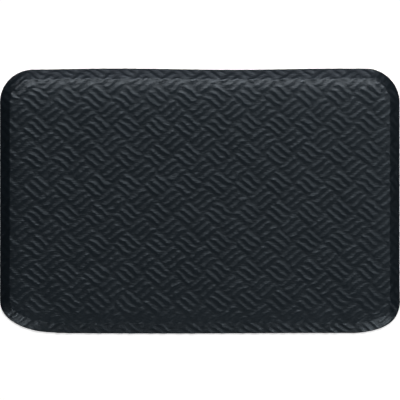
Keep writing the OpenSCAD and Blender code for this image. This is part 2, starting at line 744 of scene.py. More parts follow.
def run_tree(piece: Object, tree: GeometryNodeTree, values: dict[str, Value]) -> Object:
    """Runs a geometry tree on a piece and keeps the result as a plain mesh.

    Args:
        piece: The piece that the tree starts from.
        tree: The geometry tree.
        values: The tree's inputs by name.

    Returns:
        The same piece, with the finished mesh and no modifier.
    """
    modifier = piece.modifiers.new(tree.name, "NODES")
    modifier.node_group = tree
    for item in tree.interface.items_tree:
        if item.item_type == "SOCKET" and item.in_out == "INPUT" and item.name in values:
            modifier[item.identifier] = values[item.name]
    evaluated = piece.evaluated_get(bpy.context.evaluated_depsgraph_get())
    finished = bpy.data.meshes.new_from_object(evaluated)
    piece.modifiers.remove(modifier)
    rough = piece.data
    finished.name = piece.name
    piece.data = finished
    bpy.data.meshes.remove(rough)
    return piece


def new_geometry_tree(name: str, values: dict[str, Value]) -> tuple[Graph, Node]:
    """Makes an empty geometry tree with a named input for each value it will be given.

    Args:
        name: The tree's name.
        values: The values by name.

    Returns:
        The tree's graph and its input node.
    """
    tree = bpy.data.node_groups.new(name, "GeometryNodeTree")
    tree.interface.new_socket("Geometry", in_out="INPUT", socket_type="NodeSocketGeometry")
    for label, value in values.items():
        tree.interface.new_socket(label, in_out="INPUT", socket_type=SOCKET_KINDS[type(value)])
    tree.interface.new_socket("Geometry", in_out="OUTPUT", socket_type="NodeSocketGeometry")
    graph = Graph(tree)
    return graph, graph.add("NodeGroupInput")


@dataclass(frozen=True)
class BasketWeave:
    """The embossed basket pattern: square blocks of short ribs, turned a quarter from block to
    block.

    rising and falling are the two sides of a block, and origin the middle of a block whose ribs
    rise to the right. relief is the ribs' height above the valleys, and level the part of it
    that the valleys lie below the plain sheet. end_reach is the least and the most that a rib
    reaches from its middle before it rounds off, in ribs' widths, and strength the least height
    of a rib, as a part of the relief. hook is how far a rib's ends bend, hook_power how late the
    bend starts, and hook_noise and hook_range how the bend differs from place to place. sharpness
    is how narrow the crests are. wander and tremor are slow and quick shifts of the ribs,
    patchiness the difference in their heights, and waviness the sheet's own unevenness, each
    with the size of its patches.
    """

    rising: tuple[float, float] = (28.63 * MM, 28.30 * MM)
    falling: tuple[float, float] = (28.81 * MM, -27.42 * MM)
    origin: tuple[float, float] = (5.76 * MM, 2.8 * MM)
    ribs: int = 3
    relief: float = 1.25 * MM
    level: float = 0.6
    end_reach: tuple[float, float] = (0.9, 1.15)
    strength: float = 0.8
    hook: float = 0.11
    hook_power: float = 3.0
    hook_pitch: float = 25 * MM
    hook_noise: tuple[float, float] = (0.3, 0.7)
    hook_range: tuple[float, float] = (0.2, 1.8)
    sharpness: float = 1.4
    wander: float = 1.4 * MM
    wander_pitch: float = 17 * MM
    tremor: float = 2.5 * MM
    tremor_pitch: float = 9 * MM
    patchiness: float = 0.5
    patch_pitch: float = 9 * MM
    waviness: float = 0.22 * MM
    wave_pitch: float = 50 * MM
    seed: int = 7

    def grid(self, samples: int) -> FieldGrid:
        """The grid that runs with the ribs.

        Args:
            samples: Grid steps across one rib.

        Returns:
            The grid.
        """
        step = self.ribs * samples
        return FieldGrid(
            first=(self.rising[0] / step, self.rising[1] / step),
            second=(self.falling[0] / step, self.falling[1] / step),
            origin=self.origin,
        )

    def readers(self) -> tuple[tuple[float, float, float], tuple[float, float, float]]:
        """Vectors whose products with a place give its block numbers.

        Returns:
            One vector for each of a block's two sides.
        """
        inverse = np.linalg.inv(np.array([self.rising, self.falling]))
        first, second = inverse[:, 0], inverse[:, 1]
        return (float(first[0]), float(first[1]), 0.0), (float(second[0]), float(second[1]), 0.0)

    def tree(self, values: dict[str, Value]) -> GeometryNodeTree:
        """Builds the geometry tree that raises the ribs on the cover.

        Args:
            values: The tree's inputs by name.

        Returns:
            The tree. It moves points along their normals and stores how near each is to a crest.
        """
        graph, given = new_geometry_tree("basket_ribs", values)
        place = graph.stored(UNROLLED, "FLOAT_VECTOR")
        weight = graph.stored(EMBOSS, "FLOAT")
        swing = graph.cloud(place, 1 / self.hook_pitch, detail=0.0)
        swing = graph.ramp(swing, *self.hook_noise, *self.hook_range)
        hook = graph.times(swing, given.outputs["Hook"])
        at = graph.vector("SUBTRACT", place, given.outputs["Origin"])
        for pitch, reach in ((self.wander_pitch, "Wander"), (self.tremor_pitch, "Tremor")):
            drift = graph.noise(place, 1 / pitch, detail=0.0)
            drift = graph.vector("SUBTRACT", drift.outputs["Color"], (0.5, 0.5, 0.5))
            drift = graph.scaled(drift, graph.times(given.outputs[reach], 2.0))
            at = graph.vector("ADD", at, drift)
        rising = graph.vector("DOT_PRODUCT", at, given.outputs["Rising Reader"], out=1)
        falling = graph.vector("DOT_PRODUCT", at, given.outputs["Falling Reader"], out=1)
        crest = self.crest(graph, given, rising, falling, hook)
        patch = graph.centred(graph.cloud(place, 1 / self.patch_pitch, detail=0.0))
        patch = graph.times(patch, given.outputs["Patchiness"])
        crest = graph.times(crest, graph.plus(patch, 1.0))
        wave = graph.centred(graph.cloud(place, 1 / self.wave_pitch, detail=1.0))
        wave = graph.times(graph.times(wave, given.outputs["Waviness"]), 2.0)
        raised = graph.minus(crest, given.outputs["Level"])
        raised = graph.times(raised, given.outputs["Relief"])
        height = graph.times(graph.plus(raised, wave), weight)
        # The crest value stored here darkens the vinyl in the valleys, partly as painted shade and
        # partly as dust.
        marked = graph.add(
            "GeometryNodeStoreNamedAttribute",
            {
                "Geometry": given.outputs["Geometry"],
                "Name": CREST,
                "Value": graph.times(crest, weight),
            },
            data_type="FLOAT",
            domain="POINT",
        )
        normal = graph.add("GeometryNodeInputNormal").outputs["Normal"]
        feeds = {"Geometry": marked.outputs["Geometry"], "Offset": graph.scaled(normal, height)}
        moved = graph.add("GeometryNodeSetPosition", feeds)
        return graph.end(given, moved.outputs["Geometry"])

    def crest(
        self, graph: Graph, given: Node, rising: NodeSocket, falling: NodeSocket, hook: NodeSocket
    ) -> NodeSocket:
        """Builds the part of the tree that tells how near a place is to a rib's crest.

        Args:
            graph: The tree's graph.
            given: The tree's input node.
            rising: The place along the rising side, in blocks.
            falling: The place along the falling side, in blocks.
            hook: How strongly the ribs' ends bend towards the level.

        Returns:
            1 on a crest and 0 in a valley.
        """
        count = given.outputs["Ribs per Block"]
        row, column = graph.math("ROUND", rising), graph.math("ROUND", falling)
        in_row, in_column = graph.minus(rising, row), graph.minus(falling, column)
        odd = graph.math("FLOORED_MODULO", graph.plus(row, column), 2.0)
        swap = graph.times(graph.minus(in_column, in_row), odd)
        along = graph.times(graph.plus(in_row, swap), count)
        across = graph.times(graph.minus(in_column, swap), count)
        bent = graph.math("POWER", graph.math("ABSOLUTE", along), self.hook_power)
        bent = graph.times(bent, graph.math("SIGN", along))
        across = graph.minus(across, graph.times(bent, hook))
        rib = graph.math("ROUND", across)
        aside = graph.minus(across, rib)
        label = graph.add("ShaderNodeCombineXYZ", {0: row, 1: column, 2: rib}).outputs[0]
        feeds = {"Seed": given.outputs["Seed"]}
        luck = graph.add("FunctionNodeRandomValue", feeds, data_type="FLOAT_VECTOR")
        graph.feed(luck.inputs["ID"], self.rib_number(graph, label))
        parts = graph.add("ShaderNodeSeparateXYZ", {0: luck.outputs["Value"]})
        shortest, longest = given.outputs["Shortest Reach"], given.outputs["Longest Reach"]
        reach = graph.ramp(parts.outputs[0], 0.0, 1.0, shortest, longest)
        power = graph.ramp(parts.outputs[1], 0.0, 1.0, given.outputs["Least Strength"], 1.0)
        past = graph.minus(graph.math("ABSOLUTE", along), reach)
        past = graph.math("MAXIMUM", past, 0.0)
        gap = graph.plus(graph.times(past, past), graph.times(aside, aside))
        gap = graph.math("MINIMUM", graph.math("SQRT", gap), 0.5)
        bell = graph.math("COSINE", graph.times(gap, 2 * math.pi))
        bell = graph.math("MULTIPLY_ADD", bell, 0.5, 0.5)
        bell = graph.math("POWER", bell, given.outputs["Sharpness"])
        return graph.times(bell, power)

    @staticmethod
    def rib_number(graph: Graph, label: NodeSocket) -> NodeSocket:
        """Builds each rib's own whole number from its row, column and place.

        Args:
            graph: The tree's graph.
            label: The rib's row, column and place in its block.

        Returns:
            The number.
        """
        clear_of_steps = graph.vector("ADD", label, (0.25, 0.25, 0.25))
        factors = (101.0, 10007.0, 7.0)
        return graph.math("FLOOR", graph.vector("DOT_PRODUCT", clear_of_steps, factors, out=1))

    def values(self, finish: Material) -> dict[str, Value]:
        """The tree's inputs.

        Args:
            finish: The cover's material.

        Returns:
            The values by name.
        """
        rising, falling = self.readers()
        return {
            "Rising Reader": rising,
            "Falling Reader": falling,
            "Origin": (*self.origin, 0.0),
            "Ribs per Block": self.ribs,
            "Relief": self.relief,
            "Level": self.level,
            "Shortest Reach": self.end_reach[0],
            "Longest Reach": self.end_reach[1],
            "Least Strength": self.strength,
            "Hook": self.hook,
            "Sharpness": self.sharpness,
            "Wander": self.wander,
            "Tremor": self.tremor,
            "Patchiness": self.patchiness,
            "Waviness": self.waviness,
            "Seed": self.seed,
            "Finish": finish,
        }


class FinishGraph(Graph):
    """A material's shader tree, round its one shader."""

    def __init__(
        self,
        name: str,
        roughness: float,
        specular: float,
        tint: tuple[float, float, float, float] = WHITE,
    ) -> None:
        """Makes the material.

        Args:
            name: The material's name.
            roughness: The shader's roughness, which a texture may replace.
            specular: Its specular level.
            tint: The colour of its highlights.
        """
        self.material = bpy.data.materials.new(name)
        self.material.use_nodes = True
        super().__init__(self.material.node_tree)
        self.shader = next(n for n in self.tree.nodes if n.type == "BSDF_PRINCIPLED")
        self.set("Roughness", roughness)
        self.set("Specular IOR Level", specular)
        self.set("Specular Tint", tint)

    def set(self, name: str, value: Value) -> None:
        """Sets or links one of the shader's inputs."""
        self.feed(self.shader.inputs[name], value)

    def on_object(self) -> NodeSocket:
        """The place on the object."""
        return self.add("ShaderNodeTexCoord").outputs["Object"]

    def dress(
        self,
        colour: NodeSocket,
        roughness: NodeSocket,
        height: NodeSocket,
        depth: float,
        strength: float,
    ) -> Material:
        """Feeds the shader its colour, its roughness and its fine relief.

        Args:
            colour: The colour.
            roughness: The roughness.
            height: The relief, 0 to about 1.
            depth: How deep it is from 0 to 1.
            strength: How much of it shows.

        Returns:
            The material.
        """
        self.set("Base Color", colour)
        self.set("Roughness", roughness)
        feeds = {"Height": height, "Distance": depth, "Strength": strength}
        self.set("Normal", self.add("ShaderNodeBump", feeds).outputs["Normal"])
        return self.material


@dataclass(frozen=True)
class VinylFinish:
    """Satin vinyl with a fine linen grain, a little paler and smoother on the worn crests and
    darker in the valleys, where the darkening is partly painted shade and partly dust.

    valley and crest are its colours. Grain, threads, slubs and patches are its textures, from
    fine to coarse, each with its size. patch_shade and grain_shade are their parts in the
    colour, and grain_polish is the grain's part in the roughness. grain_height and slub_height
    are heights beside the threads', and patch_noise and patch_weave tell where the threads are
    faint and how faint.
    """

    # valley is the colour in the ribs' valleys: its darkness there is partly painted shade and
    # partly dust.
    valley: tuple[float, float, float, float] = (0.0034, 0.0064, 0.0092, 1.0)
    crest: tuple[float, float, float, float] = (0.0070, 0.0112, 0.0150, 1.0)
    thread_pitch: float = 1.9 * MM
    grain_size: float = 1.6 * MM
    grain_shade: float = 1.0
    grain_polish: float = -0.6
    grain_height: float = 0.8
    slub_size: float = 2.8 * MM
    slub_shape: tuple[float, float, float] = (0.4, 1.0, 1.0)
    slub_height: float = 5.0
    patch_size: float = 60 * MM
    patch_shade: float = 0.7
    patch_noise: tuple[float, float] = (0.4, 0.65)
    patch_weave: tuple[float, float] = (0.25, 1.0)
    bump: float = 0.1 * MM
    roughness: tuple[float, float] = (0.38, 0.48)
    specular: float = 0.5
    tint: tuple[float, float, float, float] = (0.78, 0.90, 1.0, 1.0)

    def linen(self, graph: FinishGraph, place: NodeSocket) -> NodeSocket:
        """Builds the linen grain's height.

        Args:
            graph: The material's graph.
            place: The place on the sheet.

        Returns:
            The height, about 0 to 1.
        """
        parts = graph.add("ShaderNodeSeparateXYZ", {0: place})
        turns = 2 * math.pi / self.thread_pitch
        warp = graph.math("SINE", graph.times(parts.outputs[0], turns))
        weft = graph.math("SINE", graph.times(parts.outputs[1], turns))
        threads = graph.math("MULTIPLY_ADD", graph.math("MAXIMUM", warp, weft), 0.5, 0.5)
        patch = graph.cloud(place, 1 / self.patch_size, detail=1.0)
        return graph.times(threads, graph.ramp(patch, *self.patch_noise, *self.patch_weave))

    def make(self) -> Material:
        """Builds the material.

        Returns:
            The material.
        """
        smooth, rough = self.roughness
        graph = FinishGraph("cover_vinyl_satin", rough, self.specular, self.tint)
        place = graph.add("ShaderNodeUVMap", uv_map=WEAVE_UV).outputs["UV"]
        crest = graph.add("ShaderNodeAttribute", attribute_name=CREST).outputs["Fac"]
        grain = graph.cloud(place, 1 / self.grain_size, detail=3.0)
        about = graph.centred(grain)
        patch = graph.centred(graph.cloud(place, 1 / self.patch_size, detail=3.0))
        # The crest value pulls the colour from valley to crest: darker in the valleys as painted
        # shade and dust, paler on the worn crests.
        shade = graph.math("MULTIPLY_ADD", patch, self.patch_shade, crest)
        shade = graph.math("MULTIPLY_ADD", about, self.grain_shade, shade, clamp=True)
        colour = graph.blend(shade, self.valley, self.crest)
        polish = graph.math("MULTIPLY_ADD", about, self.grain_polish, crest)
        roughness = graph.ramp(polish, 0.0, 1.0, rough, smooth)
        height = self.linen(graph, place)
        height = graph.math("MULTIPLY_ADD", grain, self.grain_height, height)
        slubs = graph.vector("MULTIPLY", place, self.slub_shape)
        slubs = graph.cloud(slubs, 1 / self.slub_size, detail=1.0)
        height = graph.math("MULTIPLY_ADD", slubs, self.slub_height, height)
        return graph.dress(colour, roughness, height, self.bump, strength=1.0)


@dataclass(frozen=True)
class FoamFinish:
    """Cut foam with open cells.

    cloud_pitch is the size of its cloudy patches, wall_noise the distances at which a cell's
    wall starts and ends, and wall_shade and cloud_shade are their parts in the colour.
    """

    name: str
    dark: tuple[float, float, float, float]
    light: tuple[float, float, float, float]
    cell_size: float = 0.9 * MM
    wall_noise: tuple[float, float] = (0.1, 0.6)
    wall_shade: float = 0.6
    cloud_pitch: float = 40 * MM
    cloud_shade: float = 0.5
    roughness: tuple[float, float] = (0.82, 0.98)
    bump: float = 0.25 * MM

    def make(self) -> Material:
        """Builds the material.

        Returns:
            The material.
        """
        graph = FinishGraph(self.name, roughness=0.9, specular=0.2)
        place = graph.on_object()
        cells = graph.add("ShaderNodeTexVoronoi", {"Vector": place, "Scale": 1 / self.cell_size})
        wall = graph.ramp(cells.outputs["Distance"], *self.wall_noise, 0.0, 1.0)
        cloud = graph.cloud(place, 1 / self.cloud_pitch, detail=4.0)
        shade = graph.times(wall, self.wall_shade)
        shade = graph.math("MULTIPLY_ADD", cloud, self.cloud_shade, shade, clamp=True)
        colour = graph.blend(shade, self.dark, self.light)
        roughness = graph.ramp(cloud, *NOISE_SPAN, *self.roughness)
        return graph.dress(colour, roughness, wall, self.bump, strength=0.8)


@dataclass(frozen=True)
class AdhesiveFinish:
    """A thin layer of glue, streaked where it was drawn out.

    streak is the number of streaks in a metre each way, dots the number of fine dots in a
    metre, and streak_shade and dot_shade are their parts in the colour.
    """

    name: str
    clear: tuple[float, float, float, float]
    cloudy: tuple[float, float, float, float]
    streak: tuple[float, float, float] = (12.0, 260.0, 12.0)
    streak_shade: float = 0.8
    dots: float = 900.0
    dot_shade: float = 0.3
    roughness: tuple[float, float] = (0.3, 0.55)
    bump: float = 0.05 * MM

    def make(self) -> Material:
        """Builds the material.

        Returns:
            The material.
        """
        graph = FinishGraph(self.name, roughness=0.4, specular=0.5)
        place = graph.on_object()
        feeds = {"Vector": place, "Scale": self.streak}
        drawn = graph.add("ShaderNodeMapping", feeds).outputs["Vector"]
        streaks = graph.cloud(drawn, scale=1.0, detail=4.0)
        shade = graph.times(streaks, self.streak_shade)
        dots = graph.cloud(place, self.dots, detail=2.0)
        shade = graph.math("MULTIPLY_ADD", dots, self.dot_shade, shade, clamp=True)
        colour = graph.blend(shade, self.clear, self.cloudy)
        roughness = graph.ramp(streaks, *NOISE_SPAN, *self.roughness)
        return graph.dress(colour, roughness, shade, self.bump, strength=0.6)


@dataclass(frozen=True)
class RubberFinish:
    """Matt black non-slip rubber, dusty and a little greyer on the studs' tips.

    tip_shade is how grey a tip is at the floor, tip_height where that ends, grain the number of
    grains in a metre, dust the number of dusty patches, and dust_shade their part in the colour.
    """

    dark: tuple[float, float, float, float] = (0.012, 0.0125, 0.013, 1.0)
    dusty: tuple[float, float, float, float] = (0.032, 0.033, 0.034, 1.0)
    tip_height: float = 0.25 * MM
    tip_shade: float = 0.6
    grain: float = 1400.0
    dust: float = 18.0
    dust_shade: float = 0.6
    roughness: tuple[float, float] = (0.72, 0.92)
    bump: float = 0.08 * MM

    def make(self) -> Material:
        """Builds the material.

        Returns:
            The material.
        """
        graph = FinishGraph("base_rubber_matt", roughness=0.8, specular=0.35)
        place = graph.on_object()
        height = graph.add("ShaderNodeSeparateXYZ", {0: place}).outputs[2]
        shade = graph.ramp(height, 0.0, self.tip_height, self.tip_shade, 0.0)
        grain = graph.cloud(place, self.grain, detail=3.0)
        dust = graph.cloud(place, self.dust, detail=4.0)
        shade = graph.math("MULTIPLY_ADD", dust, self.dust_shade, shade, clamp=True)
        colour = graph.blend(shade, self.dark, self.dusty)
        roughness = graph.ramp(grain, *NOISE_SPAN, *self.roughness)
        return graph.dress(colour, roughness, grain, self.bump, strength=0.7)


@dataclass
class WrappedCover:
    """The embossed cover: one sheet over the top, down the bevel, round the nose and under as a
    hem.

    spacing is the distance between points along the edge, samples the grid steps across a rib,
    and outer_steps and inner_steps the steps of the section's two walls on the crown, the
    shoulder, the bevel and the nose. depths tells how deep the embossing is at the start of
    each of the outer wall's four stretches, and fade steps into the nose.
    """

    outline: Outline
    section: EdgeSection
    weave: BasketWeave
    thickness: float = 1.2 * MM
    spacing: float = 3.0 * MM
    samples: int = 6
    outer_steps: tuple[int, int, int, int] = (9, 6, 7, 9)
    inner_steps: tuple[int, int, int, int] = (4, 4, 2, 6)
    depths: tuple[float, ...] = (1.0, 1.1, 1.25, 1.2, 0.0)
    fade: int = 4
    smooth_below: float = 60

    def build(self) -> Object:
        """Builds the smooth sheet, closed all round, with what the ribs' tree reads.

        Returns:
            The cover before its ribs are raised.
        """
        points, outward = self.outline.walk(self.spacing)
        outer = np.concatenate([self.section.down(0.0, self.outer_steps), self.section.hem(0.0)])
        inner = np.concatenate(
            [self.section.down(self.thickness, self.inner_steps), self.section.hem(self.thickness)]
        )
        line = np.concatenate([outer, inner[::-1]])
        parts = MeshParts()
        rings = parts.sweep(points, outward, line)
        top_ring = points - outward * outer[0][0]
        grid = self.weave.grid(self.samples)
        grid.fill(parts, top_ring, rings[0], float(outer[0][1]), up=True)
        parts.faces.append(rings[-1][::-1].tolist())
        flat = parts.all_points()
        parts.points = [self.outline.softened(flat)]
        cover = make_object("cover", parts, self.smooth_below)
        self.mark(cover, flat, outer, top_ring, outward, len(line))
        return cover

    def mark(
        self,
        cover: Object,
        flat: np.ndarray,
        outer: np.ndarray,
        top_ring: np.ndarray,
        outward: np.ndarray,
        ring_count: int,
    ) -> None:
        """Stores each point's place on the flat sheet and how deeply it is embossed.

        Args:
            cover: The cover.
            flat: Its points before the edges were softened.
            outer: The outer wall's section.
            top_ring: The ring where the flat top starts.
            outward: The outward directions at the ring's points.
            ring_count: How many rings the whole section has.
        """
        total, around = len(flat), len(top_ring)
        travel = np.concatenate([[0.0], np.cumsum(np.linalg.norm(np.diff(outer, axis=0), axis=1))])
        unrolled = flat.copy()
        unrolled[:, 2] = 0.0
        emboss = np.ones(total)
        emboss[: ring_count * around] = 0.0
        on_crown, on_shoulder, on_bevel, _ = self.outer_steps
        marks = np.cumsum([0, on_crown, on_shoulder, on_bevel, self.fade])
        depths = np.interp(np.arange(len(outer)), marks, self.depths)
        for k, (distance, depth) in enumerate(zip(travel, depths)):
            span = slice(k * around, (k + 1) * around)
            unrolled[span, :2] = top_ring + outward * distance
            emboss[span] = depth
        store(cover, UNROLLED, unrolled)
        store(cover, EMBOSS, emboss)
        uv_layer = cover.data.uv_layers.new(name=WEAVE_UV)
        corners = np.empty(len(cover.data.loops), dtype=np.int64)
        cover.data.loops.foreach_get("vertex_index", corners)
        uv_layer.data.foreach_set("uv", unrolled[corners, :2].astype(np.float32).ravel())

    def dress(self, cover: Object, finish: Material) -> Object:
        """Raises the ribs, gives the cover its finish and puts it in place of the plain one.

        Args:
            cover: The smooth cover.
            finish: The vinyl.

        Returns:
            The finished cover.
        """
        cover.data.materials.append(finish)
        values = self.weave.values(finish)
        run_tree(cover, self.weave.tree(values), values)
        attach(cover, BODY)
        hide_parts("top_cover")
        return cover


@dataclass
class InnerLayer:
    """One layer inside the cover: a foam, or the film between the foams.

    name is the piece's, node the plain solid's that it stands for, and line its section from the
    inner end of its top down to the inner end of its underside. spacing and grid_step are the
    distances between its points along the edge and on its faces. Its cut faces are uneven by
    up to unevenness, always inwards, in waves of which there are cuts in a metre.
    """

    name: str
    node: str
    slot: Slot
    outline: Outline
    line: np.ndarray
    spacing: float = 5 * MM
    grid_step: float = 8 * MM
    unevenness: float = 0.12 * MM
    cuts: float = 60.0
    smooth_below: float = 35
    padded: bool = True

    def build(self) -> Object:
        """Builds the layer as a closed mesh.

        Returns:
            The layer.
        """
        points, outward = self.outline.walk(self.spacing)
        parts = MeshParts()
        rings = parts.sweep(points, outward, self.line)
        grid = FieldGrid(first=(self.grid_step, 0.0), second=(0.0, self.grid_step))
        for end, up in ((0, True), (-1, False)):
            inset, z = self.line[end]
            grid.fill(parts, points - outward * inset, rings[end], float(z), up)
        parts.points = [self.outline.softened(parts.all_points())]
        return make_object(self.name, parts, self.smooth_below)

    def tree(self, values: dict[str, Value]) -> GeometryNodeTree:
        """Builds the geometry tree that makes the layer's cut faces uneven, always inwards.

        Args:
            values: The tree's inputs by name.

        Returns:
            The tree.
        """
        graph, given = new_geometry_tree(f"{self.name}_cut", values)
        place = graph.add("GeometryNodeInputPosition").outputs[0]
        wave = graph.cloud(place, self.cuts, detail=2.0)
        inwards = graph.times(graph.times(wave, given.outputs["Unevenness"]), -1.0)
        normal = graph.add("GeometryNodeInputNormal").outputs[0]
        feeds = {"Geometry": given.outputs["Geometry"], "Offset": graph.scaled(normal, inwards)}
        moved = graph.add("GeometryNodeSetPosition", feeds)
        return graph.end(given, moved.outputs["Geometry"])

    def dress(self, layer: Object, finish: Material) -> Object:
        """Makes the faces uneven and puts the layer in place of the plain solid.

        Args:
            layer: The layer.
            finish: The foam or the film.

        Returns:
            The finished layer.
        """
        layer.data.materials.append(finish)
        values = {"Unevenness": self.unevenness, "Finish": finish}
        run_tree(layer, self.tree(values), values)
        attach(layer, BODY)
        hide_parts(self.node)
        return layer


@dataclass
class BaseSheet:
    """The non-slip sheet under the mat, with small moulded studs that stand on the floor.

    inset is the distance from the mat's edge to the sheet's, pitch the distance between studs,
    edge_margin the least distance from a stud's middle to the sheet's edge, and sink how far a
    stud reaches into the sheet.
    """

    outline: Outline
    top: float
    inset: float = 11 * MM
    spacing: float = 6 * MM
    stud_height: float = 0.6 * MM
    stud_r: float = 1.9 * MM
    tip_r: float = 1.2 * MM
    stud_sides: int = 8
    pitch: float = 9.5 * MM
    edge_margin: float = 4 * MM
    sink: float = 0.2 * MM
    chamfer: float = 0.3 * MM
    smooth_below: float = 30

    def build(self) -> Object:
        """Builds the sheet without its studs.

        Returns:
            The sheet.
        """
        points, outward = self.outline.walk(self.spacing)
        cut, floor = self.chamfer, self.stud_height
        line = np.array(
            [
                (self.inset + cut, self.top),
                (self.inset, self.top - cut),
                (self.inset, floor + cut),
                (self.inset + cut, floor),
            ]
        )
        parts = MeshParts()
        rings = parts.sweep(points, outward, line)
        walls = len(parts.faces)
        parts.faces += [rings[0].tolist(), rings[-1][::-1].tolist()]
        parts.points = [self.outline.softened(parts.all_points())]
        sheet = make_object("base_sheet_studded", parts, self.smooth_below)
        wall = sheet.data.attributes.new(RIM_WALL, "BOOLEAN", "FACE")
        wall.data.foreach_set("value", [k < walls for k in range(len(parts.faces))])
        return sheet

    def tree(self, values: dict[str, Value]) -> GeometryNodeTree:
        """Builds the geometry tree that sets studs under the sheet, row by row.

        Args:
            values: The tree's inputs by name.

        Returns:
            The tree.
        """
        graph, given = new_geometry_tree("grip_studs", values)
        sheet, wants = given.outputs["Geometry"], given.outputs
        grid = graph.add(
            "GeometryNodeMeshGrid",
            {
                "Size X": wants["Width"],
                "Size Y": wants["Depth"],
                "Vertices X": wants["Columns"],
                "Vertices Y": wants["Rows"],
            },
        )
        number = graph.add("GeometryNodeInputIndex").outputs[0]
        row = graph.math("FLOORED_MODULO", number, wants["Rows"])
        odd = graph.math("FLOORED_MODULO", row, 2.0)
        shift = graph.times(graph.times(odd, 0.5), wants["Pitch"])
        offset = graph.add("ShaderNodeCombineXYZ", {0: shift}).outputs[0]
        feeds = {"Geometry": grid.outputs["Mesh"], "Offset": offset}
        spread = graph.add("GeometryNodeSetPosition", feeds)
        feeds = {"Geometry": sheet, "Selection": graph.stored(RIM_WALL, "BOOLEAN")}
        rim = graph.add("GeometryNodeSeparateGeometry", feeds, domain="FACE")
        feeds = {0: rim.outputs["Selection"]}
        near = graph.add("GeometryNodeProximity", feeds, target_element="FACES")
        over = graph.add("GeometryNodeRaycast", {"Target Geometry": sheet, "Ray Direction": UP})
        close = graph.math("LESS_THAN", near.outputs["Distance"], wants["Edge Margin"])
        missed = graph.minus(1.0, over.outputs["Is Hit"])
        outside = graph.math("MAXIMUM", close, missed)
        feeds = {"Geometry": spread.outputs["Geometry"], "Selection": outside}
        points = graph.add("GeometryNodeDeleteGeometry", feeds, domain="POINT")
        stud = graph.add(
            "GeometryNodeMeshCone",
            {
                "Vertices": wants["Stud Sides"],
                "Radius Top": wants["Stud Radius"],
                "Radius Bottom": wants["Tip Radius"],
                "Depth": wants["Stud Depth"],
            },
        )
        feeds = {"Points": points.outputs["Geometry"], "Instance": stud.outputs["Mesh"]}
        placed = graph.add("GeometryNodeInstanceOnPoints", feeds)
        joined = graph.add("GeometryNodeJoinGeometry", {0: sheet})
        graph.feed(joined.inputs[0], placed.outputs["Instances"])
        return graph.end(given, joined.outputs["Geometry"])

    def dress(self, sheet: Object, finish: Material) -> Object:
        """Adds the studs and puts the sheet in place of the plain one.

        Args:
            sheet: The sheet.
            finish: The rubber.

        Returns:
            The finished sheet.
        """
        sheet.data.materials.append(finish)
        row_pitch = self.pitch * math.sqrt(3) / 2
        columns = 2 * math.ceil(self.outline.half_width / self.pitch) + 1
        rows = 2 * math.ceil(self.outline.half_depth / row_pitch) + 1
        values = {
            "Width": (columns - 1) * self.pitch,
            "Depth": (rows - 1) * row_pitch,
            "Pitch": self.pitch,
            "Columns": columns,
            "Rows": rows,
            "Edge Margin": self.edge_margin,
            "Stud Sides": self.stud_sides,
            "Stud Radius": self.stud_r,
            "Tip Radius": self.tip_r,
            "Stud Depth": self.stud_height + self.sink,
            "Finish": finish,
        }
        run_tree(sheet, self.tree(values), values)
        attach(sheet, BODY)
        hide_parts("base_sheet")
        return sheet


@dataclass(frozen=True)
class SoftBox:
    """One studio light: a panel at centre that looks at aim, size wide and high."""

    name: str
    centre: tuple[float, float, float]
    size: tuple[float, float]
    power: float
    aim: tuple[float, float, float] = (0.0, 0.0, 0.0)
    colour: tuple[float, float, float] = (1.0, 1.0, 1.0)

    def place(self) -> Object:
        """Sets the light up.

        Returns:
            The light.
        """
        light = bpy.data.lights.new(self.name, "AREA")
        light.shape = "RECTANGLE"
        light.size, light.size_y = self.size
        light.energy = self.power
        light.color = self.colour
        lamp = bpy.data.objects.new(self.name, light)
        lamp.location = self.centre
        facing = Vector(self.centre) - Vector(self.aim)
        lamp.rotation_euler = facing.to_track_quat("Z", "Y").to_euler()
        lamp.visible_camera = False
        bpy.context.scene.collection.objects.link(lamp)
        return lamp


